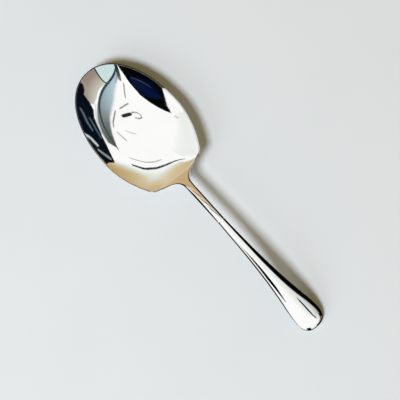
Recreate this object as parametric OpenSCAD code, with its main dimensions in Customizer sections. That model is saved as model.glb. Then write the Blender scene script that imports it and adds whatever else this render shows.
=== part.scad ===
// Serving spoon in polished stainless steel. A pressed bowl with a solid stem and tang is
// brazed into a hollow handle, which is two pressed shells brazed along their edges.
// Millimetres. X runs along the spoon from the tip of the bowl to the end of the handle and
// Z is up. The spoon lies on its bowl and on the end of its handle on the plane Z = 0, with
// the origin under the middle of its length.

/* [Bowl] */
// Tip of the bowl to the corners of its shoulders
bowl_length = 93.5; // [86:0.5:104]
// Across the widest part of the bowl
bowl_width = 66.8; // [58:0.2:76]
// Tip of the bowl to its widest part
bowl_widest_at = 56; // [48:0.5:62]
// How square the tip is: 2 is an ellipse
tip_fullness = 2.12; // [2:0.02:2.5]
// Depth of the dish below the rim
bowl_depth = 16; // [11:0.5:20]
// Height that the rim climbs from the tip to the stem
rim_climb = 4; // [2:0.5:8]
// Thickness of the bowl's floor
bowl_sheet = 2; // [1.4:0.1:2.6]
// How square the rim's edge is: 2 is round
rim_fullness = 6; // [4:0.5:10]
// Depth of the flat that the bowl rests on
rest_depth = 0.25; // [0.1:0.05:0.5]

/* [Shoulders and stem] */
// Across the corners of the shoulders
shoulder_width = 43.2; // [36:0.2:50]
// Angle of the flanks to the spoon's length at the shoulders
flank_angle = 31; // [28:0.5:42]
// Angle of the shoulders to straight across
shoulder_rake = 18; // [10:1:26]
// Run of the rounding on each side of a shoulder's corner
shoulder_round = 2; // [1.5:0.5:6]
// Run of the curve from a shoulder into the stem
neck_fillet = 7.6; // [5:0.2:9]
// Corners of the shoulders to the heel, where the dish runs out
heel_reach = 5.5; // [3:0.5:8]
// Run of the roll from the dish onto the stem, on each side of the heel
heel_roll = 5; // [3:0.5:7]
// Run from the end of the neck's curve to where the stem starts to bend down
arch_runup = 8; // [4:0.5:12]
// Width of the stem behind the neck
stem_width = 5.6; // [4.8:0.1:7]
// Thickness of the stem and of the handle's mouth
stem_thickness = 5.2; // [3.8:0.1:6.5]
// Corners of the shoulders to the handle's mouth
stem_length = 43.5; // [36:0.5:60]

/* [Handle] */
// Mouth to end
handle_length = 103; // [90:1:130]
// Across the widest part
handle_width = 19.4; // [15:0.2:25]
// Thickness at the widest part
handle_thickness = 8; // [6.6:0.2:10]
// Width at the mouth
mouth_width = 5.4; // [4.4:0.1:6.4]
// Wall of both shells
handle_wall = 0.8; // [0.6:0.05:0.95]
// Length of the straight socket behind the mouth
socket_length = 8; // [5:0.5:12]
// Angle of each side of the socket to the spoon's length
handle_flare = 1.6; // [0.5:0.1:2.5]
// How far the slim part holds back the swell
slim_run = 60; // [40:1:70]
// How early the swell reaches full width
swell_run = 13.5; // [8:0.5:20]
// Length of the rounded end
handle_round = 11.5; // [8:0.5:16]
// How square the rounded end is: 2 is an ellipse
end_fullness = 2.45; // [2:0.05:3]
// How square the stem and handle are in section: 2 is an ellipse
section_fullness = 2.1; // [2:0.1:3.2]
// How late the handle bends down: 2 is an even bend
arch_power = 3; // [2:0.1:4]

/* [Tang and brazing] */
// Length of the tang inside the handle
tang_length = 18; // [14:1:26]
// Gap round the tang that the braze fills
braze_gap = 0.15; // [0.08:0.01:0.3]
// Width of the braze fillet inside the handle's seam
seam_fillet = 0.8; // [0.5:0.1:1.2]

/* [Hidden] */
steel = "gainsboro";
braze = "khaki";
// Steps round a section, along the tip, along each curve and round the handle's end
across = 24;
tip_steps = 14;
curve_steps = 7;
swell_steps = 24;
end_steps = 8;

// Places along the spoon, from the tip
mouth_at = bowl_length + stem_length;
socket_end = mouth_at + socket_length;
spoon_length = mouth_at + handle_length;
swell_at = spoon_length - handle_round;
tang_end = mouth_at + tang_length;

// Corners of the outline on the +Y side
widest = [bowl_widest_at, bowl_width / 2];
corner = [bowl_length, shoulder_width / 2];
knee = [bowl_length - (bowl_width - shoulder_width) / 2 / tan(flank_angle), bowl_width / 2];
rake = [sin(shoulder_rake), -cos(shoulder_rake)];
foot = corner + rake * (shoulder_width - stem_width) / 2 / cos(shoulder_rake);
flank = (corner - knee) / norm(corner - knee);
neck_end = foot[0] + neck_fillet;

// The dish is deepest half way to the heel, and the stem starts to bend down at arch_at
heel_at = bowl_length + heel_reach;
dish_deep = heel_at / 2;
arch_at = neck_end + arch_runup;

// Smooth step from 0 at a to 1 at b, with no bend at either end
function ease(s, a, b) = let (q = min(1, max(0, (s - a) / (b - a)))) q * q * q * (10 - 15 * q + 6 * q * q);

// Curve from a to c that heads for b
function curve(a, b, c, n) =
  [for (i = [1 : n]) let (t = i / n) a * (1 - t) * (1 - t) + b * 2 * t * (1 - t) + c * t * t];

// A share of the depth that comes to nothing smoothly, over 2 k
function rolled(x, k) =
  let (u = min(1, max(0, (x + k) / (2 * k)))) x > k ? x : k * u * u * u * (2 - u);

// Depth of the dish at a place: a parabola that rolls over onto the stem at the heel
function dish(s) =
  let (x = 1 - pow(s / dish_deep - 1, 2))
  bowl_depth * (s < dish_deep ? x : rolled(x, 2 * heel_roll / dish_deep));

// Height of the spine above the tip's rim, for a droop at the handle's end
function spine(s, droop) =
  s < arch_at ? rim_climb * pow(s / arch_at, 2) :
  rim_climb * (1 + 2 * (s - arch_at) / arch_at)
    - droop * pow((s - arch_at) / (spoon_length - arch_at), arch_power);

// Half the thickness and the squareness of the section, up to the handle's mouth
function half_sheet(s) =
  (bowl_sheet + (stem_thickness - bowl_sheet) * ease(s, bowl_length - neck_fillet, neck_end)) / 2
    * pow(1 - pow(1 - min(1, s / bowl_sheet), 2), 0.5);
function fullness(s) =
  rim_fullness + (section_fullness - rim_fullness) * ease(s, bowl_length - neck_fillet, neck_end);

// Outline of the bowl and stem: place and half width
bowl_rows = concat(
  [for (i = [1 : tip_steps]) let (a = 90 * i / tip_steps)
    [bowl_widest_at * (1 - pow(cos(a), 2 / tip_fullness)), widest[1] * pow(sin(a), 2 / tip_fullness)]],
  curve(widest, knee, corner - flank * shoulder_round, curve_steps),
  curve(corner - flank * shoulder_round, corner, corner + rake * shoulder_round, curve_steps),
  curve(foot - rake * neck_fillet, foot, [neck_end, stem_width / 2], curve_steps),
  curve([neck_end, stem_width / 2], [arch_at, stem_width / 2], [mouth_at, mouth_width / 2], curve_steps));

// Outline of the handle: place, half width and half thickness of the outside and then of the cavity
flare = [1, tan(handle_flare)];
socket = [mouth_at, mouth_width / 2] + flare * socket_length;
slim = socket + flare * slim_run;
swell = [swell_at - swell_run, handle_width / 2];
function half_thick(s) =
  (stem_thickness + (handle_thickness - stem_thickness) * ease(s, mouth_at, swell_at)) / 2;
function row(p) =
  [p[0], p[1], half_thick(p[0]), p[0], p[1] - handle_wall, half_thick(p[0]) - handle_wall];
function end_row(u, v) =
  [swell_at + handle_round * u, handle_width / 2 * v, handle_thickness / 2 * v,
   swell_at + (handle_round - handle_wall) * u, (handle_width / 2 - handle_wall) * v,
   (handle_thickness / 2 - handle_wall) * v];
handle_rows = concat(
  [row([mouth_at, mouth_width / 2]), row(socket)],
  [for (i = [1 : swell_steps]) let (t = i / swell_steps, r = 1 - t)
    row(socket * r * r * r + slim * 3 * t * r * r + swell * 3 * t * t * r
      + [swell_at, handle_width / 2] * t * t * t)],
  [for (i = [1 : end_steps - 1]) let (a = 90 * i / end_steps)
    end_row(pow(sin(a), 2 / end_fullness), pow(cos(a), 2 / end_fullness))]);

// The bowl sinks until its rest is a flat, and the handle droops until it meets the same plane
lift = bowl_sheet / 2 - rest_depth - min([for (r = bowl_rows) spine(r[0], 0) - dish(r[0])]);
function clearance(droop) = lift + min([for (r = handle_rows) spine(r[0], droop) - r[2]]);
function settle(droop, n) = n == 0 ? droop : settle(droop + clearance(droop), n - 1);
droop = settle(rim_climb, 30);
function level(s) = lift + spine(s, droop);

// How far a skin stands off the middle of its section, at a share t of the half width
function bulge(t, full) = pow(max(0, 1 - pow(abs(t), full)), 1 / full);

// One point of a section: i runs from the +Y edge over the top and back underneath
function spot(s, half_w, half_h, full, sag, i) =
  let (t = cos(180 * i / across), side = i < across ? 1 : -1)
  [s - spoon_length / 2, half_w * t, level(s) - sag * (1 - t * t) + side * half_h * bulge(t, full)];
function ring(s, half_w, half_h, full, sag) =
  [for (i = [0 : 2 * across - 1]) spot(s, half_w, half_h, full, sag, i)];

// Sections of the tang and of the cavity that it stands in
function tang_ring(s) =
  ring(s, mouth_width / 2 - handle_wall - braze_gap, stem_thickness / 2 - handle_wall - braze_gap,
    section_fullness, 0);
function cavity_ring(r) = ring(r[3], r[4], r[5], section_fullness, 0);

function middle(ps) = [for (k = [0 : 2]) ([for (p = ps) p[k]] * [for (p = ps) 1]) / len(ps)];
function tri(a, b, c) = a == b || b == c || c == a ? [] : [[a, b, c]];
function quad(a, b, c, d) = concat(tri(a, d, c), tri(a, c, b));

// Solid through rings of points, closed to a point at each end
module loft(rings, start, end) {
  n = len(rings[0]);
  rows = len(rings);
  function at(k, i) = k < 0 ? rows * n : k == rows ? rows * n + 1 : k * n + i % n;
  polyhedron(
    points = concat([for (r = rings) each r], [start, end]),
    faces = [for (k = [-1 : rows - 1], i = [0 : n - 1])
      each quad(at(k, i), at(k, i + 1), at(k + 1, i + 1), at(k + 1, i))],
    convexity = 6);
}

// Sheet between two grids of points. Each grid ends in a point if it has one to spare
module sheet(outer, inner, outer_end, inner_end) {
  n = len(outer[0]);
  rows = len(outer);
  function o(k, i) = k == rows ? 2 * rows * n : k * n + i;
  function c(k, i) = k == rows ? 2 * rows * n + 1 : (rows + k) * n + i;
  polyhedron(
    points = concat([for (r = outer) each r], [for (r = inner) each r], [outer_end, inner_end]),
    faces = concat(
      [for (k = [0 : rows - 1], i = [0 : n - 2])
        each concat(quad(o(k, i), o(k, i + 1), o(k + 1, i + 1), o(k + 1, i)),
          quad(c(k, i + 1), c(k, i), c(k + 1, i), c(k + 1, i + 1)))],
      [for (k = [0 : rows - 1])
        each concat(quad(o(k + 1, 0), c(k + 1, 0), c(k, 0), o(k, 0)),
          quad(o(k, n - 1), c(k, n - 1), c(k + 1, n - 1), o(k + 1, n - 1)))],
      [for (i = [0 : n - 2]) each quad(o(0, i), c(0, i), c(0, i + 1), o(0, i + 1))]),
    convexity = 6);
}

// Ring of sheet between two sets of closed rings, open at both ends
module sleeve(outer, inner) {
  n = len(outer[0]);
  rows = len(outer);
  function o(k, i) = k * n + i % n;
  function c(k, i) = (rows + k) * n + i % n;
  polyhedron(
    points = concat([for (r = outer) each r], [for (r = inner) each r]),
    faces = concat(
      [for (k = [0 : rows - 2], i = [0 : n - 1])
        each concat(quad(o(k, i), o(k, i + 1), o(k + 1, i + 1), o(k + 1, i)),
          quad(c(k, i + 1), c(k, i), c(k + 1, i), c(k + 1, i + 1)))],
      [for (i = [0 : n - 1])
        each concat(quad(o(0, i), c(0, i), c(0, i + 1), o(0, i + 1)),
          quad(o(rows - 1, i + 1), c(rows - 1, i + 1), c(rows - 1, i), o(rows - 1, i)))]),
    convexity = 6);
}

// Half of the handle: the front shell is the upper half and the back shell the lower
module handle_shell(first) {
  outer = [for (r = handle_rows)
    [for (i = [first : first + across]) spot(r[0], r[1], r[2], section_fullness, 0, i)]];
  inner = [for (r = handle_rows)
    [for (i = [first : first + across]) spot(r[3], r[4], r[5], section_fullness, 0, i)]];
  inner_end = spoon_length - handle_wall;
  sheet(outer, inner, [spoon_length / 2, 0, level(spoon_length)],
    [inner_end - spoon_length / 2, 0, level(inner_end)]);
}

module bowl_and_stem() {
  tang_rows = [mouth_at, socket_end, tang_end];
  color(steel)
    difference() {
      loft(
        concat(
          [for (r = bowl_rows) ring(r[0], r[1], half_sheet(r[0]), fullness(r[0]), dish(r[0]))],
          [for (s = tang_rows) tang_ring(s)]),
        [-spoon_length / 2, 0, level(0)],
        middle(tang_ring(tang_end)));
      // The flat that the bowl rests on
      translate([dish_deep - spoon_length / 2, 0, -rest_depth])
        cube([bowl_length, bowl_width, 2 * rest_depth], center = true);
    }
}

module handle_front_shell() color(steel) handle_shell(0);

module handle_back_shell() color(steel) handle_shell(across);

// Braze between the tang and the socket
module tang_braze() {
  color(braze)
    sleeve([for (k = [0, 1]) cavity_ring(handle_rows[k])], [tang_ring(mouth_at), tang_ring(socket_end)]);
}

// Fillets of braze along both seams, from behind the tang to the rounded end
module seam_braze() {
  n = 2 * across;
  rings = [for (r = handle_rows) if (r[3] > tang_end) cavity_ring(r)];
  color(braze)
    for (i = [0, across])
      loft(
        [for (c = rings)
          [c[i] + [0, (i == 0 ? -1 : 1) * seam_fillet, 0], c[(i + n - 1) % n], c[i], c[i + 1]]],
        rings[0][i], rings[len(rings) - 1][i]);
}

bowl_and_stem();
handle_front_shell();
handle_back_shell();
tang_braze();
seam_braze();
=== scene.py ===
# %% [markdown]
# # A polished serving spoon
# The real spoon is stainless steel with a mirror finish: a pressed bowl on a solid stem, and a
# hollow handle made of two pressed shells. A mirror shows every bump, so each piece here is made
# with many fine sections that follow the same smooth curves as the construction model.
# Everything is in metres in Blender, and the sizes below are in millimetres.

import math

import bpy
import numpy as np
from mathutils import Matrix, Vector


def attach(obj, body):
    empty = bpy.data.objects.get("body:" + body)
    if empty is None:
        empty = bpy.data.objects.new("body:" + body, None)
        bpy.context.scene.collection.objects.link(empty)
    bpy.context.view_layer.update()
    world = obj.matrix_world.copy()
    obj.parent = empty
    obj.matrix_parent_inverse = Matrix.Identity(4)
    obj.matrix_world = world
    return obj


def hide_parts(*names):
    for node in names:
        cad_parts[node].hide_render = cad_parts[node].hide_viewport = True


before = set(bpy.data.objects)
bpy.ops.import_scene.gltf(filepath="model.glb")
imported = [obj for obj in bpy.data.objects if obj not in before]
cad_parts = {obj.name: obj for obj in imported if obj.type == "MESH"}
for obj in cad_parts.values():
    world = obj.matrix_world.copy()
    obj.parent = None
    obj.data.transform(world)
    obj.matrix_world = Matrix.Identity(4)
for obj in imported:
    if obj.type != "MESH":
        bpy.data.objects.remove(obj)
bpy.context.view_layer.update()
bpy.ops.object.select_all(action="DESELECT")
MM = 0.001
print("CAD nodes:", sorted(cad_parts))

# %% [markdown]
# ## The driving sizes
# A spoon is drawn from two curves: its outline from above and its line from the side. These few
# sizes give both. `place` is always the distance along the spoon from the tip of the bowl.

# %% Sizes of the bowl, stem and handle
BOWL_LENGTH, BOWL_WIDTH, BOWL_WIDEST_AT = 93.5, 66.8, 56.0
BOWL_DEPTH, BOWL_SHEET, RIM_CLIMB, REST_DEPTH = 16.0, 2.0, 4.0, 0.25
TIP_FULLNESS, SECTION_FULLNESS, END_FULLNESS = 2.12, 2.1, 2.45
SHOULDER_WIDTH, SHOULDER_ROUND, FLANK_ANGLE, SHOULDER_RAKE = 43.2, 2.0, 31.0, 18.0
NECK_FILLET, ARCH_RUNUP, HEEL_REACH, HEEL_ROLL = 7.6, 8.0, 5.5, 5.0
STEM_LENGTH, STEM_WIDTH, STEM_THICKNESS = 43.5, 5.6, 5.2
HANDLE_LENGTH, HANDLE_WIDTH, HANDLE_THICKNESS, HANDLE_WALL = 103.0, 19.4, 8.0, 0.8
MOUTH_WIDTH, SOCKET_LENGTH, HANDLE_FLARE = 5.4, 8.0, 1.6
SLIM_RUN, SWELL_RUN, HANDLE_ROUND, ARCH_POWER = 60.0, 13.5, 11.5, 3.0
TANG_LENGTH, BRAZE_GAP = 18.0, 0.15

mouth_at = BOWL_LENGTH + STEM_LENGTH
spoon_length = mouth_at + HANDLE_LENGTH
swell_at = spoon_length - HANDLE_ROUND
print("spoon length:", spoon_length, "mm")

# %% [markdown]
# ## The outline from above
# The tip is a slightly square ellipse. A curve runs from the widest part to the shoulder, a small
# one rounds the shoulder's corner and a hollow one runs into the stem. A blank like this is what
# the real spoon is stamped from, so the outline comes first.

# %% Outline of the bowl and stem
widest = np.array([BOWL_WIDEST_AT, BOWL_WIDTH / 2])
corner = np.array([BOWL_LENGTH, SHOULDER_WIDTH / 2])
flank_run = (BOWL_WIDTH - SHOULDER_WIDTH) / 2 / math.tan(math.radians(FLANK_ANGLE))
knee = np.array([BOWL_LENGTH - flank_run, BOWL_WIDTH / 2])
flank = (corner - knee) / np.linalg.norm(corner - knee)
rake = np.array([math.sin(math.radians(SHOULDER_RAKE)), -math.cos(math.radians(SHOULDER_RAKE))])
foot = corner + rake * (SHOULDER_WIDTH - STEM_WIDTH) / 2 / -rake[1]
neck_end = foot[0] + NECK_FILLET
arch_at = neck_end + ARCH_RUNUP
heel_at = BOWL_LENGTH + HEEL_REACH
dish_deep = heel_at / 2


def curve(start, towards, end, steps):
    """Points of a curve that leaves start, heads for a corner and arrives at end."""
    t = np.linspace(0, 1, steps + 1)[1:, None]
    return start * (1 - t) ** 2 + towards * 2 * t * (1 - t) + end * t**2


def blank_outline(tip_steps, steps):
    """Place and half width from the tip of the bowl to the mouth of the handle."""
    a = np.linspace(0, math.pi / 2, tip_steps + 1)
    tip = np.c_[
        BOWL_WIDEST_AT * (1 - np.cos(a) ** (2 / TIP_FULLNESS)),
        widest[1] * np.sin(a) ** (2 / TIP_FULLNESS),
    ]
    tip[-1] = widest
    flank_end, rake_start = corner - flank * SHOULDER_ROUND, corner + rake * SHOULDER_ROUND
    rake_end, stem = foot - rake * NECK_FILLET, np.array([neck_end, STEM_WIDTH / 2])
    return np.vstack([
        tip,
        curve(widest, knee, flank_end, steps),
        curve(flank_end, corner, rake_start, steps // 2),
        curve(rake_start, (rake_start + rake_end) / 2, rake_end, steps // 2),
        curve(rake_end, foot, stem, steps),
        curve(stem, np.array([arch_at, STEM_WIDTH / 2]), np.array([mouth_at, MOUTH_WIDTH / 2]), steps),
    ])


TIP_STEPS, CURVE_STEPS = 64, 24
blank = blank_outline(TIP_STEPS, CURVE_STEPS)
print("sections of the bowl and stem:", len(blank), "widest:", 2 * blank[:, 1].max(), "mm")

# %% Outline of the handle
flare = np.array([1, math.tan(math.radians(HANDLE_FLARE))])
mouth = np.array([mouth_at, MOUTH_WIDTH / 2])
socket = mouth + flare * SOCKET_LENGTH
slim = socket + flare * SLIM_RUN
swell = np.array([swell_at - SWELL_RUN, HANDLE_WIDTH / 2])
full = np.array([swell_at, HANDLE_WIDTH / 2])


def handle_outline(swell_steps, end_steps):
    """Place, half width and a share of the full thickness, from the mouth to the rounded end."""
    t = np.linspace(0, 1, swell_steps + 1)[:, None]
    r = 1 - t
    side = socket * r**3 + slim * 3 * t * r**2 + swell * 3 * t**2 * r + full * t**3
    side = np.vstack([mouth, (mouth + socket) / 2, side])
    a = np.linspace(0, math.pi / 2, end_steps + 1)[1:]
    u, v = np.sin(a) ** (2 / END_FULLNESS), np.cos(a) ** (2 / END_FULLNESS)
    v[-1] = 0
    end = np.c_[swell_at + HANDLE_ROUND * u, HANDLE_WIDTH / 2 * v]
    return np.vstack([side, end]), np.r_[np.ones(len(side)), v]


SWELL_STEPS, END_STEPS = 64, 24
handle, handle_share = handle_outline(SWELL_STEPS, END_STEPS)
print("sections of the handle:", len(handle), "widest:", 2 * handle[:, 1].max(), "mm")

# %% [markdown]
# ## The line from the side
# From the side, the rim climbs from the tip to the stem, the handle arches over and comes down to
# the table. The dish is a smooth hollow under that line. The bowl and the handle's end both rest on
# the plane Z = 0, so the bowl is lifted and the end of the handle is bent down until they do. The
# bowl is set 0.25 mm too low and cut off at the plane, which gives it a small flat to rest on.


# %% Dish, spine and thickness
def ease(place, start, end):
    """Smooth step from 0 to 1 with no bend at either end."""
    q = np.clip((place - start) / (end - start), 0, 1)
    return q**3 * (10 - 15 * q + 6 * q**2)


def dish(place):
    """Depth of the dish below the rim: a parabola that rolls over onto the stem at the heel."""
    x = 1 - (place / dish_deep - 1) ** 2
    k = 2 * HEEL_ROLL / dish_deep
    u = np.clip((x + k) / (2 * k), 0, 1)
    rolled = np.where(x > k, x, 2 * k * (u**3 - u**4 / 2))
    return BOWL_DEPTH * np.where(place < dish_deep, x, rolled)


def spine(place, droop):
    """Height of the middle of the section's edge above the tip's."""
    bowl = RIM_CLIMB * (place / arch_at) ** 2
    q = np.clip((place - arch_at) / (spoon_length - arch_at), 0, None)
    arch = RIM_CLIMB * (1 + 2 * (place - arch_at) / arch_at) - droop * q**ARCH_POWER
    return np.where(place < arch_at, bowl, arch)


def half_sheet(place):
    """Half the thickness of the bowl and stem."""
    swelling = ease(place, BOWL_LENGTH - NECK_FILLET, neck_end)
    return (BOWL_SHEET + (STEM_THICKNESS - BOWL_SHEET) * swelling) / 2


def half_handle(place):
    """Half the thickness of the handle before its rounded end."""
    swelling = ease(place, mouth_at, swell_at)
    return (STEM_THICKNESS + (HANDLE_THICKNESS - STEM_THICKNESS) * swelling) / 2


DROOP_ROUNDS = 40
handle_half = half_handle(handle[:, 0]) * handle_share
under_bowl = spine(blank[:, 0], 0) - dish(blank[:, 0])
lift = BOWL_SHEET / 2 - REST_DEPTH - under_bowl.min()
droop = RIM_CLIMB
# Each round bends the end down by the gap that is left under it, until there is none.
for _ in range(DROOP_ROUNDS):
    droop += lift + (spine(handle[:, 0], droop) - handle_half).min()
print("rim at the tip:", round(lift, 2), "mm up; droop of the handle's end:", round(droop, 2), "mm")

# %% [markdown]
# ## A bar to forge
# A cutler starts from a bar and forges it section by section. Here a cylinder is laid along X,
# its long edges are cut into as many rings as there are sections, and each ring is then moved to
# its section. The other way, pulling a low cage into shape under a Subdivision modifier, rounds
# the shoulders off and makes the mirror wobble.


# %% Helper: a bar with evenly cut rings
MERGE, LENGTHWISE = 1e-7, 0.1


def bar(name, ring_points, rings):
    """An open cylinder along X, one unit long, with that many rings of points, an odd number."""
    bpy.ops.object.select_all(action="DESELECT")
    bpy.ops.mesh.primitive_cylinder_add(
        vertices=ring_points, radius=1, depth=1, end_fill_type="NOTHING", rotation=(0, math.pi / 2, 0)
    )
    obj = bpy.context.object
    obj.name = obj.data.name = name
    bpy.ops.object.transform_apply(location=False, rotation=True, scale=True)
    bpy.context.tool_settings.mesh_select_mode = (False, True, False)
    # One subdivide cuts an edge 100 times at most, so the bar is halved before it is cut finely.
    for cuts in (1, (rings - 1) // 2 - 1):
        bpy.ops.object.mode_set(mode="EDIT")
        bpy.ops.mesh.select_all(action="DESELECT")
        bpy.ops.object.mode_set(mode="OBJECT")
        points = obj.data.vertices
        for edge in obj.data.edges:
            a, b = (points[i].co for i in edge.vertices)
            edge.select = abs(a.x - b.x) > LENGTHWISE
        bpy.ops.object.mode_set(mode="EDIT")
        bpy.ops.mesh.subdivide(number_cuts=cuts)
        bpy.ops.object.mode_set(mode="OBJECT")
    return obj


def forge(obj, ring_points, sections):
    """Moves each ring of a bar to its section. sections is rings by points by XYZ, in mm."""
    rings = len(sections)
    for vertex in obj.data.vertices:
        ring = round((vertex.co.x + 0.5) * (rings - 1))
        turn = math.atan2(vertex.co.z, vertex.co.y) / (2 * math.pi)
        vertex.co = Vector(sections[ring][round(turn * ring_points) % ring_points]) * MM
    bpy.ops.object.mode_set(mode="EDIT")
    bpy.ops.mesh.select_all(action="SELECT")
    bpy.ops.mesh.remove_doubles(threshold=MERGE)
    bpy.ops.mesh.normals_make_consistent(inside=False)
    bpy.ops.object.mode_set(mode="OBJECT")
    obj.data.update()


def place_points(place, side, height):
    """XYZ in the spoon's own frame, whose origin is under the middle of its length."""
    return np.stack([place - spoon_length / 2, side, height], axis=-1)


# %% [markdown]
# ## The sections of the bowl
# Across the bowl, the sheet is a shallow arc whose edge is cut square to it, so that the rim shows
# a narrow bright or dark face. Points are packed into the rim, where light turns fastest. There
# each section turns square to the outline, as a mitre does, and only then runs straight across:
# sections that ran straight all the way would slice the rim at a slant at the tip and shoulders.
# At the tip both sides of the section meet, which closes the bowl.
# Through the neck the thin sheet grows into the squarish oval of the stem.

# %% Rings of the bowl and stem
RING, RIM_POINTS, TANG_RINGS = 160, 14, 4
# The rim's face is 0.9 mm wide from above and falls 1.7 mm. Its inner corner is rounded from a share
# of 0.86 of that width on, and its lower edge by 0.2 mm.
RIM_FACE, RIM_DROP, RIM_CORNER, RIM_ROUND = 0.9, 1.7, 0.86, 0.2
FINE_TIP_STEPS, FINE_CURVE_STEPS, NO_ZERO = 800, 200, 1e-9
fine_blank = blank_outline(FINE_TIP_STEPS, FINE_CURVE_STEPS)


def right_of(edge):
    """Unit steps square to an edge, to the right of its run."""
    steps = np.diff(edge, axis=0)
    steps /= np.linalg.norm(steps, axis=1)[:, None]
    along = np.vstack([steps[:1], steps[:-1] + steps[1:], steps[-1:]])
    along /= np.linalg.norm(along, axis=1)[:, None]
    return np.c_[along[:, 1], -along[:, 0]]


def sheet_quarter(edge, inward):
    """Places, distances across and half thicknesses above and below, from the rim to the middle."""
    turn = np.radians(np.linspace(0, 180, RIM_POINTS))
    inside = RIM_FACE * (1 - np.cos(turn)) / 2
    run = np.radians(np.linspace(0, 90, RING // 4 - RIM_POINTS + 1))[1:]
    rim = edge + inward * inside[:, None]
    place = np.r_[edge[0], rim[:, 0], np.full(len(run), rim[-1, 0])]
    across = np.r_[edge[1], rim[:, 1], rim[-1, 1] * np.cos(run)]
    inside = np.r_[0, inside, np.full(len(run), RIM_FACE)]
    near = inside / RIM_FACE
    fall = 2 / (1 + RIM_CORNER)
    rounded = fall * (1 - near) ** 2 / (2 * (1 - RIM_CORNER))
    up = half_sheet(edge[0]) - RIM_DROP * np.where(near < RIM_CORNER, 1 - fall * near, rounded)
    near = np.clip(inside / RIM_ROUND, 0, 1)
    down = half_sheet(edge[0]) - RIM_ROUND * (1 - np.sqrt(1 - (1 - near) ** 2))
    up[0] = (up[1] - down[1]) / 2
    return place, across, up, down


def oval_quarter(points, place, half_width, half_height):
    """The same for the squarish oval of the stem and handle."""
    a = np.radians(np.linspace(0, 90, points + 1))
    power = 2 / SECTION_FULLNESS
    across, up = half_width * np.cos(a) ** power, half_height * np.sin(a) ** power
    across[-1] = 0
    return np.full(points + 1, place), across, up, up


def whole_ring(place, across, up, down):
    """A full turn from the +Y edge over the top, made from a quarter turn above and one below."""
    along = np.r_[place, place[-2::-1], place[1:], place[-2:0:-1]]
    side = np.r_[across, -across[-2::-1], -across[1:], across[-2:0:-1]]
    rise = np.r_[up, up[-2::-1], -down[1:], -down[-2:0:-1]]
    return along, side, rise


def bowl_ring(edge, inward):
    """One section of the bowl or stem, from its point on the outline."""
    sheet = sheet_quarter(edge, inward)
    oval = oval_quarter(RING // 4, *edge, half_sheet(edge[0]))
    grown = ease(edge[0], BOWL_LENGTH - NECK_FILLET, neck_end)
    section = [thin * (1 - grown) + thick * grown for thin, thick in zip(sheet, oval)]
    along, side, rise = whole_ring(*section)
    share = side / np.maximum(np.interp(along, *fine_blank.T), NO_ZERO)
    height = lift + spine(along, droop) - dish(along) * (1 - share**2) + rise
    return place_points(along, side, np.maximum(height, 0))


def oval_ring(points, place, half_width, half_height):
    """One section of the tang or handle."""
    along, side, rise = whole_ring(*oval_quarter(points // 4, place, half_width, half_height))
    return place_points(along, side, lift + spine(along, droop) + rise)


inward = right_of(np.vstack([blank[:0:-1] * [1, -1], blank]))[len(blank) - 1 :]
bowl_rings = [bowl_ring(*row) for row in zip(blank, inward)]
tang_gap = HANDLE_WALL + BRAZE_GAP
tang_rings = [
    oval_ring(RING, place, MOUTH_WIDTH / 2 - tang_gap, STEM_THICKNESS / 2 - tang_gap)
    for place in np.linspace(mouth_at, mouth_at + TANG_LENGTH, TANG_RINGS)
]
print("rings:", len(bowl_rings), "for the bowl and stem,", len(tang_rings), "for the tang")

# %% Forge the bowl and stem
BOWL_SMOOTH = math.radians(60)
sections = bowl_rings + tang_rings
bowl = bar("bowl_and_stem_polished", RING, len(sections))
forge(bowl, RING, sections)
# The tip is closed already, so the one open edge left is the end of the tang, which gets a face.
bpy.ops.object.mode_set(mode="EDIT")
bpy.ops.mesh.select_all(action="DESELECT")
bpy.ops.mesh.select_non_manifold(
    use_wire=False, use_boundary=True, use_multi_face=False, use_non_contiguous=False, use_verts=False
)
bpy.ops.mesh.edge_face_add()
bpy.ops.mesh.select_all(action="SELECT")
bpy.ops.mesh.normals_make_consistent(inside=False)
bpy.ops.object.mode_set(mode="OBJECT")
bpy.ops.object.shade_smooth_by_angle(angle=BOWL_SMOOTH)
print("bowl and stem:", len(bowl.data.polygons), "faces")

# %% [markdown]
# ## The two shells of the handle
# The handle is one squarish oval from end to end, so the same bar is used. It is cut in half
# lengthwise with Bisect while it is still straight, each half is forged, and Solidify gives it
# the wall of the pressed sheet.

# %% Forge the handle's shells
HANDLE_RING, SHELL_SMOOTH, NEAR_CUT = 96, math.radians(40), 1e-5
handle_rings = [oval_ring(HANDLE_RING, *edge, half_height) for edge, half_height in zip(handle, handle_half)]


def shell(name, up):
    """One half of the handle: the front shell is the upper half."""
    obj = bar(name, HANDLE_RING, len(handle_rings))
    bpy.ops.object.mode_set(mode="EDIT")
    bpy.ops.mesh.select_all(action="SELECT")
    bpy.ops.mesh.bisect(
        plane_co=(0, 0, 0), plane_no=(0, 0, 1), clear_inner=up, clear_outer=not up, threshold=NEAR_CUT
    )
    bpy.ops.object.mode_set(mode="OBJECT")
    forge(obj, HANDLE_RING, handle_rings)
    wall = obj.modifiers.new("pressed wall", "SOLIDIFY")
    wall.thickness = HANDLE_WALL * MM
    wall.offset = -1
    bpy.ops.object.modifier_apply(modifier=wall.name)
    bpy.ops.object.shade_smooth_by_angle(angle=SHELL_SMOOTH)
    print(name, len(obj.data.polygons), "faces")
    return obj


front = shell("handle_front_shell_polished", True)
back = shell("handle_back_shell_polished", False)

# %% [markdown]
# ## Put the pieces on the frame
# The construction model has a node for each piece, and no piece moves against another. So each new
# piece rides on the one body and stands in for its own node. The alloy in the brazed joints is
# hidden, so it keeps the meshes of the construction model.

# %% Put the pieces on the frame
for piece, node in ((bowl, "bowl_and_stem"), (front, "handle_front_shell"), (back, "handle_back_shell")):
    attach(piece, "root")
    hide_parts(node)
    print(piece.name, "stands in for", node)

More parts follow.
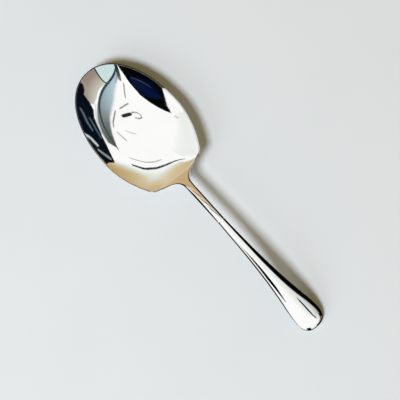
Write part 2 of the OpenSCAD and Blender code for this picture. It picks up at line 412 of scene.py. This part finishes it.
# %% [markdown]
# ## Polished stainless steel
# The steel is 18/10 stainless, polished on soft wheels until it is a mirror. What is left to see
# is a faint haze, the fine lines of the polishing wheel and a few hair scratches from use. They
# change how rough the mirror is, and only the haze also tones its colour a little: painted on as
# colour, lines and scratches would look like dirt.


# %% Helper: colours and nodes
def hex_colour(text):
    """An sRGB hex value as linear RGBA. Two more digits give how solid it is."""
    parts = [int(text[i : i + 2], 16) / 255 for i in range(1, len(text), 2)]
    linear = [c / 12.92 if c <= 0.04045 else ((c + 0.055) / 1.055) ** 2.4 for c in parts[:3]]
    return linear + (parts[3:] or [1.0])


def add(tree, kind, values=None, links=(), **settings):
    """Adds a node with its settings, its input values and its links (input, from node, output)."""
    node = tree.nodes.new(kind)
    for key, value in settings.items():
        setattr(node, key, value)
    for key, value in (values or {}).items():
        node.inputs[key].default_value = value
    for key, source, output in links:
        tree.links.new(source.outputs[output], node.inputs[key])
    return node


def start_material(name, **values):
    """A new material with a Principled shader: its node tree, its shader and its Object coordinates."""
    material = bpy.data.materials.new(name)
    material.use_nodes = True
    tree = material.node_tree
    shader = tree.nodes["Principled BSDF"]
    for key, value in values.items():
        shader.inputs[key.replace("_", " ")].default_value = value
    print("material:", name)
    return material, tree, shader, add(tree, "ShaderNodeTexCoord")


# %% Polished stainless steel
HAZE_WIDTH, RIPPLE_LENGTH, RIPPLE_HEIGHT = 18, 12, 0.02
WHEEL_LINE = (40, 0.7, 0.7)
SCRATCH_CELL, SCRATCH_TURN = (26, 5, 9), (0.2, 0.1, 0.5)
steel, tree, shader, where = start_material("stainless steel, mirror polished on soft wheels", Metallic=1.0)
on_object = [("Vector", where, "Object")]
# Haze: the wheel presses unevenly, so patches about 18 mm wide are a little less clear.
haze = add(tree, "ShaderNodeTexNoise", {"Scale": 1 / (HAZE_WIDTH * MM), "Detail": 3.0}, on_object)
# Wheel lines run along the spoon. Real ones are a few hundredths of a millimetre apart, too fine to
# show, so these are 0.7 mm apart and 40 mm long.
drawn = add(tree, "ShaderNodeMapping", {"Scale": [1 / (size * MM) for size in WHEEL_LINE]}, on_object)
lines = add(tree, "ShaderNodeTexNoise", {"Scale": 1.0, "Detail": 2.0}, [("Vector", drawn, 0)])
# Hair scratches from use are the thin borders of long cells, which catch a little light.
cell_scale = [1 / (size * MM) for size in SCRATCH_CELL]
worn = add(tree, "ShaderNodeMapping", {"Rotation": SCRATCH_TURN, "Scale": cell_scale}, on_object)
cells = add(tree, "ShaderNodeTexVoronoi", {"Scale": 1.0}, [("Vector", worn, 0)], feature="DISTANCE_TO_EDGE")
span = {"From Min": 0.0, "From Max": 0.012, "To Min": 0.035, "To Max": 0.0}
scratch = add(tree, "ShaderNodeMapRange", span, [("Value", cells, "Distance")])
soft = add(tree, "ShaderNodeMath", links=[(0, haze, "Fac"), (1, lines, "Fac")], operation="MULTIPLY")
span = {"From Min": 0.12, "From Max": 0.42, "To Min": 0.015, "To Max": 0.06}
gloss = add(tree, "ShaderNodeMapRange", span, [("Value", soft, 0)])
rough = add(tree, "ShaderNodeMath", links=[(0, gloss, 0), (1, scratch, 0)], operation="ADD")
print("haze", HAZE_WIDTH, "mm wide, lines", WHEEL_LINE[0], "mm long")

# %% Colour and ripples of the steel
tones = {6: hex_colour("#fefefd"), 7: hex_colour("#f7f7f5")}
shade = add(tree, "ShaderNodeMix", tones, [(0, haze, "Fac")], data_type="RGBA")
# The pressed sheet is never quite true: ripples about 12 mm long make edges in the mirror waver.
ripple = add(tree, "ShaderNodeTexNoise", {"Scale": 1 / (RIPPLE_LENGTH * MM), "Detail": 1.0}, on_object)
wave = add(
    tree, "ShaderNodeBump", {"Strength": 1.0, "Distance": RIPPLE_HEIGHT * MM}, [("Height", ripple, "Fac")]
)
for key, node, output in (("Base Color", shade, 2), ("Roughness", rough, 0), ("Normal", wave, 0)):
    tree.links.new(node.outputs[output], shader.inputs[key])
for piece in (bowl, front, back):
    piece.data.materials.clear()
    piece.data.materials.append(steel)
    print(piece.name, "has", steel.name)

# %% [markdown]
# ## Brazing alloy
# The tang sits in the handle's mouth in a thin film of silver alloy, and more of it lies inside the
# two seams. It is never polished, so it stays as it froze: a little yellow, matt and grainy. One
# noise is enough for both its colour and its roughness, since the same grains make them.

# %% Brazing alloy
GRAIN = 1
braze, tree, shader, where = start_material("silver brazing alloy, as it froze", Metallic=1.0)
# The alloy freezes in grains of about 1 mm, some yellower and duller than others.
grain = add(
    tree, "ShaderNodeTexNoise", {"Scale": 1 / (GRAIN * MM), "Detail": 4.0}, [("Vector", where, "Object")]
)
tones = {6: hex_colour("#d8cfae"), 7: hex_colour("#b9a878")}
shade = add(tree, "ShaderNodeMix", tones, [(0, grain, "Fac")], data_type="RGBA")
span = {"From Min": 0.3, "From Max": 0.7, "To Min": 0.3, "To Max": 0.5}
rough = add(tree, "ShaderNodeMapRange", span, [("Value", grain, "Fac")])
tree.links.new(shade.outputs[2], shader.inputs["Base Color"])
tree.links.new(rough.outputs[0], shader.inputs["Roughness"])
for node in ("tang_braze", "seam_braze"):
    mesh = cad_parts[node].data
    mesh.materials.clear()
    mesh.materials.append(braze)

# %% [markdown]
# ## The table
# The spoon lies on a pale painted top that takes its shadow. A plane with one even colour looks like
# a flat fill, so the paint gets the soft clouds that a roller leaves. It hardly shines, since a
# shiny top would mirror the cards that stand round the spoon.

# %% Table
# The table is 6 m wide, and its clouds about 70 mm.
TABLE_SIZE, CLOUD_WIDTH = 6, 70
bpy.ops.mesh.primitive_plane_add(size=TABLE_SIZE)
table = bpy.context.object
table.name = "table"
table_paint, tree, shader, where = start_material(
    "pale matt table top, rolled paint", Roughness=0.7, Specular_IOR_Level=0.05
)
cloud_size = {"Scale": 1 / (CLOUD_WIDTH * MM), "Detail": 3.0}
clouds = add(tree, "ShaderNodeTexNoise", cloud_size, [("Vector", where, "Object")])
tones = {6: hex_colour("#e4e7e7"), 7: hex_colour("#dee2e3")}
shade = add(tree, "ShaderNodeMix", tones, [(0, clouds, "Fac")], data_type="RGBA")
tree.links.new(shade.outputs[2], shader.inputs["Base Color"])
table.data.materials.append(table_paint)

# %% [markdown]
# ## The room
# A mirror has no colour of its own: it shows what stands round it. So the room looks plain white to
# the camera and in the steel, while the light that it sheds on the table is weak and warm. That
# warm light is what is left in the shadow, which makes it brown and not grey.

# %% Room
world = bpy.data.worlds.new("pale room")
bpy.context.scene.world = world
world.use_nodes = True
tree = world.node_tree
tree.nodes.clear()
path = add(tree, "ShaderNodeLightPath")
rays = [(0, path, "Is Camera Ray"), (1, path, "Is Glossy Ray")]
seen = add(tree, "ShaderNodeMath", links=rays, operation="MAXIMUM")
rays = [(0, seen, 0), (1, path, "Is Transmission Ray")]
seen = add(tree, "ShaderNodeMath", links=rays, operation="MAXIMUM")
room = add(tree, "ShaderNodeBackground", {"Color": hex_colour("#ffe6a4"), "Strength": 0.25})
white = add(tree, "ShaderNodeBackground", {"Color": hex_colour("#ffffff"), "Strength": 1.0})
mix = add(tree, "ShaderNodeMixShader", links=[(0, seen, 0), (1, room, 0), (2, white, 0)])
add(tree, "ShaderNodeOutputWorld", links=[("Surface", mix, 0)])
print("room:", world.name)

# %% [markdown]
# ## The camera
# The picture looks straight down, so the camera hangs over the middle of the spoon. A long lens
# keeps the outline true. Turning the camera, and not the spoon, leaves the spoon on its frame.

# %% Camera
# The turn is in degrees, the sensor and lens in millimetres and the sight in metres.
PICTURE_TURN = 47.74
SENSOR, LENS, SIGHT = 36, 100, 20
CAMERA_PLACE = Vector((-1.8, -1.3, 785.8)) * MM
camera_data = bpy.data.cameras.new("camera")
camera = bpy.data.objects.new("camera", camera_data)
bpy.context.scene.collection.objects.link(camera)
bpy.context.scene.camera = camera
camera_data.sensor_width = SENSOR
camera_data.lens = LENS
camera_data.clip_end = SIGHT
camera.location = CAMERA_PLACE
camera.rotation_euler = (0, 0, math.radians(PICTURE_TURN))
print("camera:", round(camera.location.z, 3), "m up, lens", LENS, "mm")

# %% [markdown]
# ## The lamps
# The shadow falls to the upper right, so the light comes from the lower left. One disk lamp high up
# gives the shadow its core, and a larger and weaker one, lower down, gives it a broad soft edge.
# The steel doesn't show the lamps, because two round spots would spoil its reflections.

# %% Lamps
LAMP_DISTANCE = 3.3
turn = math.radians(PICTURE_TURN)


def towards(right, up):
    """Direction in the room for a spot in the bowl's view, in degrees from straight up."""
    tilt, way = math.radians(math.hypot(right, up)), math.atan2(up, right) + turn
    return Vector((math.sin(tilt) * math.cos(way), math.sin(tilt) * math.sin(way), math.cos(tilt)))


for name, spot, size, energy in (
    ("window lamp", (-20, -18), 1.0, 95),
    ("low window lamp", (-42, -38), 1.7, 24),
):
    lamp_data = bpy.data.lights.new(name, "AREA")
    lamp_data.shape = "DISK"
    lamp_data.size = size
    lamp_data.energy = energy
    lamp_data.color = hex_colour("#ebf2ff")[:3]
    lamp = bpy.data.objects.new(name, lamp_data)
    bpy.context.scene.collection.objects.link(lamp)
    lamp.location = towards(*spot) * LAMP_DISTANCE
    lamp.rotation_euler = lamp.location.to_track_quat("Z", "Y").to_euler()
    lamp.visible_glossy = False
    print(name, energy, "W")

# %% [markdown]
# ## Cards to reflect
# A photographer shapes what a spoon shows with flags and cards. Here too, dark, navy, beige and blue
# cards stand where the bowl should show them, and only reflections see them. A card round the bowl
# is cut by its corners as the bowl sees them: the distance from the centre is the angle from
# straight up, and the direction is as in the picture. A picture wrapped round the room would be
# quicker, but its edges would blur in the mirror.

# %% Paint of the cards
# Matt card in an even light shows just its colour, so the paint glows by its tint and needs no lamp.
card_paint = bpy.data.materials.new("matt card")
card_paint.use_nodes = True
tree = card_paint.node_tree
tree.nodes.clear()
tint = add(tree, "ShaderNodeAttribute", attribute_name="tint")
glow = add(tree, "ShaderNodeEmission", links=[("Color", tint, "Color")])
clear = add(tree, "ShaderNodeBsdfTransparent")
mix = add(tree, "ShaderNodeMixShader", links=[(0, tint, "Alpha"), (1, clear, 0), (2, glow, 0)])
add(tree, "ShaderNodeOutputMaterial", links=[("Surface", mix, 0)])
print("material:", card_paint.name)

# %% Helper: cards and ribbons
# Near black for dark things round the spoon. It also stands for painted shade of the table beside it. SHADE
# is painted shade alone, for the spoon's own shade that its edges show.
WHITE, BLACK, DARK_AND_SHADE, SHADE = "#ffffff", "#050607", "#060606", "#0c0c0c"
BOWL_MIDDLE_UP = 5
# Distances from the bowl are in metres. A card that is nearer stands in front of the others.
CARD_DISTANCE, RIBBON_DISTANCE = 1.2, 1.15
bowl_middle = Vector((dish_deep - spoon_length / 2, 0, BOWL_MIDDLE_UP)) * MM
cards = []


def tint_row(tints, count):
    """Colours for a row of corners. Several tints run evenly into each other."""
    tints = np.array([hex_colour(tint) for tint in ([tints] if isinstance(tints, str) else tints)])
    spread = np.linspace(0, len(tints) - 1, count)
    return [[np.interp(c, range(len(tints)), tints[:, k]) for k in range(4)] for c in spread]


def sheet_of_card(name, rows):
    """A sheet of card through rows of points. Each row is its tints and its points."""
    bpy.ops.object.select_all(action="DESELECT")
    count = len(rows[0][1])
    bpy.ops.mesh.primitive_grid_add(x_subdivisions=count - 1, y_subdivisions=len(rows) - 1, size=2)
    obj = bpy.context.object
    obj.name = name
    colours = obj.data.color_attributes.new("tint", "FLOAT_COLOR", "POINT")
    rows = [(tint_row(tints, count), points) for tints, points in rows]
    for vertex in obj.data.vertices:
        shades, points = rows[round((vertex.co.y + 1) / 2 * (len(rows) - 1))]
        along = round((vertex.co.x + 1) / 2 * (count - 1))
        vertex.co = points[along]
        colours.data[vertex.index].color = shades[along]
    obj.data.materials.append(card_paint)
    obj.visible_camera = obj.visible_diffuse = obj.visible_shadow = False
    cards.append(name)


def card(name, *rows, distance=CARD_DISTANCE):
    """A card whose corners are given as the bowl sees them."""
    sheet_of_card(name, [
        (tints, [bowl_middle + towards(*spot) * distance for spot in corners]) for tints, corners in rows
    ])


def ribbon(name, tint, width, path, distance=RIBBON_DISTANCE, taper=0.0):
    """A narrow card along a path, in degrees. Its corners are cut twice so that it bends softly."""
    path = np.array(path, float)
    for _ in range(2):
        cut = np.stack([path[:-1] * 0.75 + path[1:] * 0.25, path[:-1] * 0.25 + path[1:] * 0.75], axis=1)
        path = np.vstack([path[:1], cut.reshape(-1, 2), path[-1:]])
    along = np.gradient(path, axis=0)
    aside = np.c_[-along[:, 1], along[:, 0]] / np.linalg.norm(along, axis=1)[:, None] * width / 2
    slim = 1 - taper * np.abs(np.linspace(-1, 1, len(path)))[:, None] ** 4
    card(name, (tint, path + aside * slim), (tint, path - aside * slim), distance=distance)


# %% [markdown]
# ## Dark and navy flags
# The bowl turns the room upside down, so the flag that shows at the upper right stands at the lower
# left. Two black flags give the mirror its depth. Narrow ribbons in front of them are the pale
# streaks that keep the black from looking like paint.

# %% Flags at the lower left
card(
    "black flag, lower left",
    (BLACK, [(-14.5, -64), (-23.3, -51), (-31.5, -42), (-41, -36.7), (-50, -33), (-60.5, -30)]),
    (BLACK, [(-15, -88), (-32, -82), (-48, -75), (-62.5, -62), (-60.8, -51.5), (-59, -38)]),
)
ribbon(
    "dark streak at the tip", ["#10181a", "#1d2729", "#3c4749", "#98a09e"], 5.0,
    [(-13, -74), (-12.5, -66), (-12, -60), (-10.5, -55), (-9, -50)], distance=1.12, taper=0.5,
)
card(
    "navy flag",
    ("#0b1026", [(-24, -55), (-25, -52), (-30, -47.5), (-34, -43), (-42, -41.5), (-50, -42.5), (-56, -44)]),
    ("#07173f", [(-27, -57), (-32, -54), (-38, -51), (-43, -48), (-48, -47), (-53, -47), (-57, -46)]),
    ("#050812", [(-29, -60), (-37, -59), (-46, -59), (-54, -58), (-56, -55), (-57, -51), (-58, -47)]),
    distance=1.1,
)
ribbon(
    "streak on the navy flag", "#39405a", 1.0,
    [(-27.5, -57), (-39, -56.5), (-46.5, -54.5), (-50.5, -52.5)], distance=1.05, taper=0.9,
)
print("cards so far:", len(cards))

# %% Flag at the right and its streaks
card(
    "black flag, right",
    ("#050608", [
        (52, -29), (48.5, -22), (50.3, -15), (53.6, -8), (50.8, 0), (50, 9), (52.5, 19),
        (51.7, 27), (50.3, 34), (49.8, 40), (47.8, 45.5), (46.6, 49.5), (43.8, 57), (42, 60),
    ]),
    ("#08111d", [
        (60, -30), (59.5, -22), (59, -15), (60, -8), (58, 0), (57, 9), (58.5, 19),
        (58.5, 28), (57.5, 36), (56.5, 42), (55, 47), (53, 52), (51, 57.5), (49.5, 61),
    ]),
    ("#040506", [
        (78, -40), (83, -30), (86, -21), (89, -10), (90, 2), (90, 12), (89, 22),
        (87, 33), (84, 43), (81, 50), (77, 56), (72, 61), (66, 64), (60, 66),
    ]),
    distance=1.15,
)
for name, tint, width, taper, path in (
    ("pale hook", "#a8a19c", 1.2, 0.5,
     [(53, -7), (49.3, -13.5), (46.8, -19.5), (46.3, -23.5), (47.3, -27), (50, -27)]),
    ("pale streak, upper", "#566068", 2.4, 0.8, [(63, 14), (62, 24), (61, 31), (58, 38)]),
    ("pale streak, middle", "#47616d", 2.0, 0.8, [(58, 22), (56, 28), (54, 36), (51, 43)]),
    ("pale streak", "#c6d0ce", 2.6, 0.5, [(67.5, 45), (62.5, 46.2), (59.5, 49), (56.5, 52)]),
    ("pale streak, lower", "#8f9a98", 1.8, 0.6, [(58, 55), (52, 57), (46, 58)]),
):
    ribbon(name, tint, width, path, distance=1.1, taper=taper)
print("cards so far:", len(cards))

# %% [markdown]
# ## Beige, taupe and blue cards
# In the picture the lower side of the bowl shows a beige wall with a dark rail, and the tip shows a
# taupe and a pale blue wall with a blue crescent beside them. Rows of tints let the large cards fade
# as a wall does in the light. One flat tint would look like a sticker.

# %% Beige card and rails
card(
    "beige card",
    ("#e4ece600", [
        (56, 52), (40, 57), (28, 57.5), (13, 57.5), (-6, 54.5),
        (-22, 50), (-33, 44.5), (-43, 39), (-51, 36), (-60, 39),
    ]),
    (["#cfb88e", "#dde6de", "#dde6de", "#d6c8a8"], [
        (56, 57), (41, 61), (29, 61), (13, 61), (-7, 58.8),
        (-24, 54), (-35, 49.5), (-45, 43.5), (-53, 39.5), (-62, 43),
    ]),
    (["#b4935f", "#c9b183", "#e2dcc2", "#d8c6a0", "#cfb083"], [
        (60, 62), (42, 65.5), (29, 65), (13, 63.5), (-6, 60.5),
        (-23, 57.5), (-38, 53.5), (-49, 47.5), (-57, 44), (-65, 47),
    ]),
    (["#a58351", "#c4a878", "#cfbd98", "#c9a878", "#c7a06e"], [
        (76, 70), (46, 84), (28, 90), (8, 92), (-18, 90),
        (-38, 84), (-56, 74), (-66, 66), (-74, 58), (-78, 54),
    ]),
)
ribbon(
    "dark rail", "#1d2123", 1.6,
    [
        (19, 57.5), (13, 57.3), (6.5, 57.2), (-2, 55.8), (-9, 53.6), (-17.2, 51.3),
        (-25, 47.9), (-32.5, 44.2), (-40, 39.8), (-46.2, 36), (-51.3, 34), (-55, 33.6),
    ],
    distance=1.1, taper=0.3,
)
ribbon(
    "grey rail", "#a9aeab", 1.0,
    [(21.5, 51.5), (12, 51.5), (-0.5, 50.5), (-12.5, 47.5), (-22, 43.5), (-29.5, 39)], taper=0.8,
)
print("cards so far:", len(cards))

# %% Taupe and pale blue cards
card(
    "taupe card",
    ("#cfcdc0", [(18, -38), (31, -26), (41, -10), (47, 0), (51, 1)]),
    ("#9c8c82", [(23, -46), (38, -33), (48, -20), (53, -7), (55, -2)]),
    ("#5d554b", [(30, -78), (52, -62), (68, -44), (78, -20), (84, -8)]),
)
card(
    "pale blue card",
    ("#cfe3e3", [(-9, -60), (0, -52), (13, -42), (20, -42), (23, -47)]),
    ("#c4dada", [(-14, -84), (0, -85), (12, -84), (20, -82), (28, -80)]),
    distance=1.22,
)
print("cards so far:", len(cards))

# %% Blue crescent and its rails
card(
    "blue crescent",
    ("#c9dce600", [
        (-14, -60), (-9, -51), (-2, -43), (6, -31), (12, -20),
        (21, -6), (29, 8), (33, 20), (35, 30), (34, 47),
    ]),
    (["#b6cdd9", "#b9cfda", "#aebfc6", "#70756f", "#5c5e57"], [
        (-13, -60.5), (-5, -51), (3, -42), (11, -31), (17, -20),
        (26, -5), (33, 9), (36, 21), (37, 31), (35, 46),
    ]),
    (["#93a5a8", "#a6c0cc", "#8ea2aa", "#7f8a88", "#565b58"], [
        (-12, -62), (-5, -55), (10.5, -43), (21, -34), (31, -22),
        (38, -11), (43.5, 0), (48, 14), (50, 30), (44.5, 44),
    ]),
)
ribbon("edge of the crescent", "#8b9897", 1.1, [(-12, -60), (-6, -52), (0, -45)], taper=0.5)
ribbon(
    "bright line beside the crescent",
    ["#e6ebe6", "#dfe4e2", "#c4c9cd", "#a0a8aa", "#c4c9cd", "#eef2ee"], 1.7,
    [(44.5, -3), (47.3, 7), (50.4, 18), (50, 26), (49, 33), (48.3, 37), (46.8, 41), (45, 45.5)],
    distance=1.12, taper=0.3,
)
ribbon(
    "slate rail", "#34484e", 2.3,
    [
        (-12, -62), (-5, -55), (10, -43), (23.5, -31), (35, -15), (40.5, -3),
        (43.5, 8), (45, 21), (43.5, 29), (40.5, 37), (36.5, 43), (33.5, 47.5),
    ],
    taper=0.6,
)
ribbon(
    "slate rail, upper", "#1f2c30", 2.4,
    [(14, -40), (18, -40), (21, -43), (24, -50), (28, -64)], distance=1.18,
)
print("cards so far:", len(cards))

# %% [markdown]
# ## Small things over the bowl
# A clip with a loop of wire and a few thin rods hang over the bowl and show as fine dark lines in
# the white. They are ribbons too, because a ribbon seen in a curved mirror bends as a real wire
# does. A grey sheet gives the white at the right a soft tone: it is painted shade of the room, as
# the steel shows it.

# %% Clip, loop, rods and painted room shade
ribbon("dark clip above", "#26292a", 4.2, [(12, -1), (6, -4.5), (0, -8), (-6.5, -11.5)], taper=0.7)
ribbon(
    "wire loop", "#9a9e9b", 1.8,
    [(-6.5, -12), (-9, -14.5), (-17, -16.5), (-20.5, -15), (-21.5, -11.5), (-15.5, -8), (-9.5, -7.5)],
    taper=0.2,
)
# Painted shade: a pale grey sheet for a shaded part of the room.
card(
    "painted room shade, right",
    ("#e6eae600", [(-62, -30), (-62, -19), (-58, -5), (-54, 3), (-50, 13), (-45, 22)]),
    ("#edf0ec", [(-70, -34), (-70, -21), (-66, -6), (-62, 5), (-58, 17), (-52, 27)]),
    ("#e6eae600", [(-76, -37), (-75, -22), (-71, -6), (-67, 7), (-63, 20), (-57, 31)]),
)
rods = (
    ("#84888a", [(-13.5, -49.5), (-9.5, -40.5), (-6.5, -31)]),
    ("#8c9090", [(11, -11.5), (1, -19), (-8, -25.5)]),
    ("#73787a", [(18.5, -6.5), (25, 5.5), (30, 15), (31, 21.5)]),
    ("#8c9090", [(28.5, 25.5), (24, 29), (17, 32.5)]),
    ("#c9ccc8", [(14.5, 18.5), (6.5, 19), (-2, 17)]),
    ("#b4b8b4", [(-62.5, -27), (-64, -26), (-66, -25.5)]),
)
for number, (tint, path) in enumerate(rods):
    ribbon(f"thin rod {number + 1}", tint, 1.5, path, taper=0.5)
print("cards so far:", len(cards))

# %% [markdown]
# ## Paper tents round the stem and handle
# The handle is a long narrow mirror. A photographer bends white paper round it, so that its top is
# one clean light. The black rows below the paper draw black lines along the handle's edges: they are
# painted shade of the table in the spoon's own shade, and at the right also dark things round the
# spoon. A tent is given by places along the spoon and by angles from straight up, so each row of
# angles is one line on the handle.


# %% Helper: tents
def round_handle(place, angle, radius):
    """A spot round the stem or handle: the angle is from straight up, towards +Y."""
    middle = lift + float(spine(min(place, spoon_length), droop))
    way = math.radians(angle)
    spot = (place - spoon_length / 2, radius * math.sin(way), middle + radius * math.cos(way))
    return Vector(spot) * MM


def tent(name, places, radius, *rows):
    """A card bent round the handle. A row is its tints, and one angle or an angle for each place."""
    rows = [(tints, np.broadcast_to(angles, len(places))) for tints, angles in rows]
    sheet_of_card(name, [
        (tints, [round_handle(place, angle, radius) for place, angle in zip(places, angles)])
        for tints, angles in rows
    ])


def line_on_tent(name, tint, places, radius, middle, half):
    """A narrow line just inside a tent, from its middle angles and half widths."""
    middle, half = np.array(middle), np.array(half)
    tent(name, places, radius, (tint, middle - half), (tint, middle + half))


# %% Tents of the handle and stem
# The radii of the tents are in millimetres, and the angle where they end is in degrees.
HANDLE_TENT, STEM_TENT, TENT_FOOT = 26, 12, 165
places = [138, 147, 156, 165, 174, 184, 194, 204, 214, 223, 233, 244, 255, 262]
dark_from = np.array([58, 54, 48, 43, 39, 36, 36, 36, 38, 42, 48, 54, 64, 74])
edge_line = np.array([-80, -82, -82, -80, -80, -82, -84, -86, -88, -92, -96, -100, -106, -110])
# The near-black rows at both sides are painted shade of the table by the handle. At the right they also
# stand for dark things round the spoon.
tent(
    "paper tent round the handle", places, HANDLE_TENT,
    ("#050505", -TENT_FOOT), ("#050505", edge_line),
    *[(WHITE, edge_line * part) for part in (0.94, 0.75, 0.55, 0.35, 0.18)],
    (WHITE, -2), ("#f1f3f1", 3),
    (["#f1f3f1", "#f1f3f1", "#dfe3dc"], dark_from * 0.45),
    (["#e4e7e4", "#e4e7e4", "#9aa093"], dark_from - 4),
    (DARK_AND_SHADE, dark_from + 1), (DARK_AND_SHADE, TENT_FOOT),
)
# The near-black rows at both sides are painted shade of the table by the stem.
tent(
    "beige tent round the stem", [105, 112, 119, 126, 132, 138], STEM_TENT,
    ("#050505", -TENT_FOOT), ("#050505", [-84, -58, -58, -66, -74, -96]),
    (WHITE, [-76, -51, -51, -59, -68, -90]),
    (["#dccbac", "#f4eee2", WHITE, WHITE], -32),
    (["#cfb48a", "#f0e8da", "#fbf9f4", WHITE, WHITE], 0),
    (["#c6a678", "#ceb48c", "#d8c8ac", "#e8e2d6", "#f0f0ee"], 25),
    (["#c09c6a", "#c2a67c", "#c4b08c", "#c8c0ac", "#c8c8c4"], 60),
    (["#a98a5e", "#a99a80", "#a8a8a4", "#a8a8a4"], [78, 68, 62, 60, 58, 54]),
    ("#1c1a16", [88, 76, 69, 67, 65, 60]), (DARK_AND_SHADE, TENT_FOOT),
)
print("cards so far:", len(cards))

# %% Lines on the tents
line_on_tent(
    "dark line on the left", "#0c0c0d", [160, 168, 175, 185, 195, 205, 214, 221], HANDLE_TENT - 1,
    [-47, -46, -42, -42, -45, -42, -43, -44], [2, 6, 12, 15, 17, 13, 7, 2],
)
line_on_tent(
    "dark line by the end", "#202224", [226, 231, 236, 242, 252, 261], HANDLE_TENT - 1,
    [19, 18.4, 17.5, 16.3, 18.5, 20], [0.5, 3.4, 3.4, 3.4, 3.4, 3.4],
)
for number, (start, left, right) in enumerate(((106, -34, 22), (115, -22, 34), (124, -14, 44))):
    line_on_tent(
        f"brown line on the stem {number + 1}", "#54483a", start + np.arange(0, 13, 4), STEM_TENT - 1.6,
        np.linspace(left, right, 4), [2, 8, 8, 2],
    )
print("cards so far:", len(cards))

# %% [markdown]
# ## Paper at the handle's end and over the neck
# The rounded end looks along the table, so a sheet of paper stands behind it with a dark foot that
# draws the end's outline: the foot, and a dark patch on the table by the end, are painted shade of
# the table in the handle's own shade. A tan card lies over the neck, where the bowl rolls over into
# the stem and would show the white room.


# %% Paper and tan card
def paper_point(place, side, height):
    """A spot by its place along the spoon, its side and its height, in mm."""
    return Vector((place - spoon_length / 2, side, height)) * MM


PAPER_PLACE = 262
streaked = ["#f4f5f2", "#f4f5f2", "#202224", "#202224"]
sheet_of_card("paper at the handle's end", [
    (tints, [paper_point(PAPER_PLACE, side, height) for height in (0.6, 10, 20, 31)])
    for tints, side in (
        (WHITE, -26), (WHITE, 7.5), (streaked, 7.8), (streaked, 10.6), ("#eceeea", 10.9), ("#b4b9ae", 24),
        (DARK_AND_SHADE, 26),
    )
])
# Painted shade: the dark foot stands for the table in the handle's own shade.
sheet_of_card("painted shade at the paper's foot", [
    (DARK_AND_SHADE, [paper_point(PAPER_PLACE - 1, side, height) for height in (0.5, top)])
    for side, top in ((0, 0.6), (5, 1.2), (10, 2.4), (15, 5), (20, 12), (25, 31))
])
# Painted shade: a dark patch on the table where the end shows it.
sheet_of_card("painted shade on the table by the end", [
    (SHADE, [paper_point(*left, height), paper_point(*right, height)])
    for left, right, height in (
        ((242, -9.5), (244, -6), 0.5), ((248, -13), (252, -8), 0.5), ((248, -13), (252, -8), 6),
    )
])
sheet_of_card("tan card over the neck", [
    (tints, [paper_point(place, side, height) for side in (left, right)])
    for tints, place, left, right, height in (
        (["#d2be9400", "#c8a67c00"], 71, -20, -6, 24),
        (["#cdba90", "#caa97e"], 79, -20, 2, 25),
        (["#cab488", "#c8a67c"], 88, -20, 9, 26),
        (["#c8ae82", "#c8a67c"], 98, -18, 16, 27.5),
        ("#c8a67c", 106, -15, 18, 29),
    )
])
print("cards so far:", len(cards))

# %% [markdown]
# ## Shade round the rim
# On a real table the rim of a spoon has a thin dark outline, because it shows the spoon's own shade
# on the table. The room's light alone is too even for that, so dark strips lie along the rim and
# the handle. Each is the outline moved outwards, so it stays at an even distance.


# %% Dark rings
def dark_ring(name, edge, gaps, tints=SHADE):
    """A dark strip along an edge. Each of its rows has its gap from the edge and its height."""
    sheet_of_card(name, [
        (tints, [paper_point(*spot, height) for spot in edge + right_of(edge) * gap])
        for gap, height in gaps
    ])


# In millimetres: how high the strips lie, how far they stop short, and places along the spoon.
FLOOR, STOP_SHORT = 0.4, 3
HANDLE_FROM, END_FROM, TIP_TO = 150, 226, 44.1
half_edge = handle[handle[:, 0] > HANDLE_FROM]
whole_edge = np.vstack([half_edge * [1, -1], half_edge[-2::-1]])
dark_ring("shade round the handle", whole_edge, ((0.8, FLOOR), (6, FLOOR)))
end_edge = half_edge[half_edge[:, 0] > END_FROM][::-1]
dark_ring("shade by the end", end_edge, ((0.8, FLOOR), (17, FLOOR)))
half_edge = blank[blank[:, 0] < BOWL_LENGTH - STOP_SHORT]
dark_ring(
    "shade round the bowl, left", half_edge * [1, -1], ((1, FLOOR), (9, FLOOR), (9, 22)),
    [SHADE] * 5 + ["#9c8864"] * 3,
)
tip_edge = half_edge[half_edge[:, 0] < TIP_TO][::-1]
dark_ring("shade round the bowl, right", tip_edge, ((1, FLOOR), (3, FLOOR), (3, 23)))
print("cards so far:", len(cards))

# %% Painted shade line round the rim
# Painted shade: a dark strip just outside the rim, for the spoon's own shade that the rim shows.
SHADE_LINE_RISE = (-0.8, 2.5)
half_edge = blank[blank[:, 0] < neck_end - STOP_SHORT]
shade_line = np.vstack([half_edge[::-1], half_edge[1:] * [1, -1]])
shade_line = shade_line + right_of(shade_line)
rim_top = lift + spine(shade_line[:, 0], droop) + BOWL_SHEET / 2
sheet_of_card("painted shade line round the rim", [
    (SHADE, [paper_point(*spot, height + rise) for spot, height in zip(shade_line, rim_top)])
    for rise in SHADE_LINE_RISE
])
print("cards:", len(cards))

# %% [markdown]
# ## Finish
# The Standard view shows colours as they are written.

# %% Finish
bpy.context.scene.view_settings.view_transform = "Standard"
